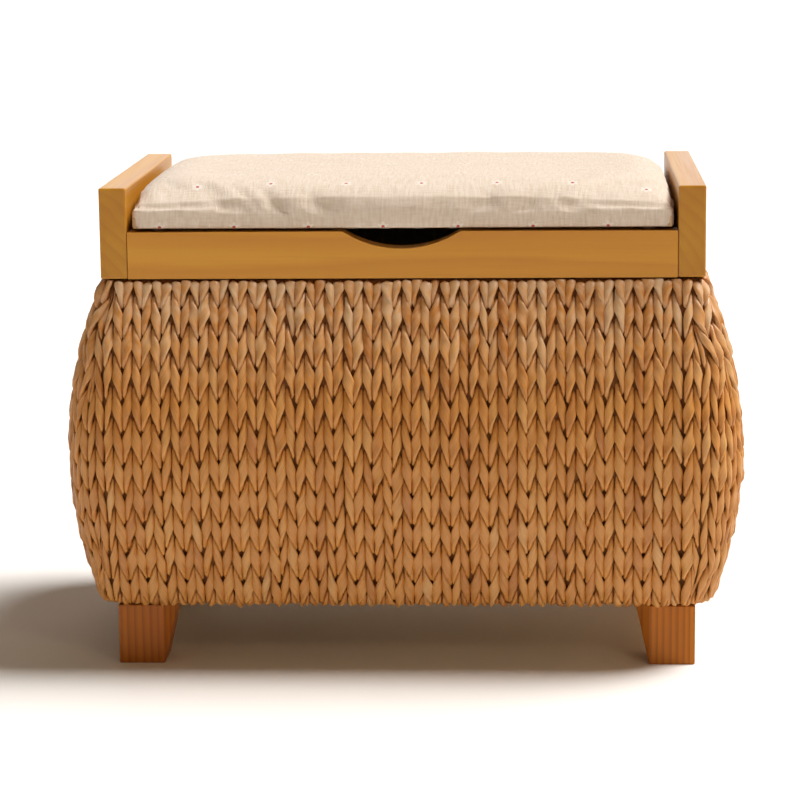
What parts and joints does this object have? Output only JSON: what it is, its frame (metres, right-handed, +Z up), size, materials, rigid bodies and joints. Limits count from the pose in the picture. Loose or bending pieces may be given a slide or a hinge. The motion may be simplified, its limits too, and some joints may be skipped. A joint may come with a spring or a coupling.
{
  "type": "storage ottoman",
  "caption": "Woven storage ottoman with a pine top frame, raised end boards, a padded hinged lid, a cloth-lined storage box and block legs.",
  "frame": {"origin": "on the floor under the middle of the ottoman", "axes": "+Z up, +X to the right along the seat seen from the front, -Y out of the front with the finger notch"},
  "size_m": [0.5988, 0.3888, 0.4302],
  "materials": {
    "pine": "clear satin varnish over honey-coloured pine",
    "stained_wood": "reddish brown stain under satin varnish",
    "plywood": "bare sanded plywood",
    "woven_strand": "dried plant strand, lightly lacquered",
    "frame_wire": "dark powder coat",
    "liner_cloth": "plain unbleached cotton",
    "linen_cover": "slubby natural linen with small printed flowers",
    "felt_rubber": "matt",
    "zinc_steel": "zinc plated"
  },
  "bodies": {
    "base": {"leg_front_left": "stained_wood", "leg_front_right": "stained_wood", "leg_rear_left": "stained_wood", "leg_rear_right": "stained_wood", "leg_bolt_front_left": "zinc_steel", "leg_bolt_front_right": "zinc_steel", "leg_bolt_rear_left": "zinc_steel", "leg_bolt_rear_right": "zinc_steel", "base_rail_front": "pine", "base_rail_rear": "pine", "base_rail_left": "pine", "base_rail_right": "pine", "storage_floor": "plywood", "end_board_left": "pine", "end_board_right": "pine", "front_apron": "pine", "rear_apron": "pine", "woven_shell": "woven_strand", "wire_hoop_1": "frame_wire", "wire_hoop_2": "frame_wire", "wire_hoop_3": "frame_wire", "wire_hoop_4": "frame_wire", "wire_rib_front_1": "frame_wire", "wire_rib_front_2": "frame_wire", "wire_rib_front_3": "frame_wire", "wire_rib_rear_1": "frame_wire", "wire_rib_rear_2": "frame_wire", "wire_rib_rear_3": "frame_wire", "wire_rib_left_1": "frame_wire", "wire_rib_left_2": "frame_wire", "wire_rib_right_1": "frame_wire", "wire_rib_right_2": "frame_wire", "fabric_liner": "liner_cloth", "hinge_fixed_leaf_left": "zinc_steel", "hinge_fixed_leaf_right": "zinc_steel", "hinge_pin_left": "zinc_steel", "hinge_pin_right": "zinc_steel", "fixed_leaf_screw_left_1": "zinc_steel", "fixed_leaf_screw_left_2": "zinc_steel", "fixed_leaf_screw_right_1": "zinc_steel", "fixed_leaf_screw_right_2": "zinc_steel"},
    "lid": {"lid_board": "plywood", "seat_cushion": "linen_cover", "lid_lining": "linen_cover", "lid_bumper_left": "felt_rubber", "lid_bumper_right": "felt_rubber", "hinge_moving_leaf_left": "zinc_steel", "hinge_moving_leaf_right": "zinc_steel", "moving_leaf_screw_left_1": "zinc_steel", "moving_leaf_screw_left_2": "zinc_steel", "moving_leaf_screw_right_1": "zinc_steel", "moving_leaf_screw_right_2": "zinc_steel"}
  },
  "joints": [
    {"name": "lid_hinge", "type": "hinge", "parent": "base", "child": "lid", "pos_m": [0, 0.1632, 0.39235], "axis": [-1, 0, 0], "range_deg": [0, 100]}
  ]
}
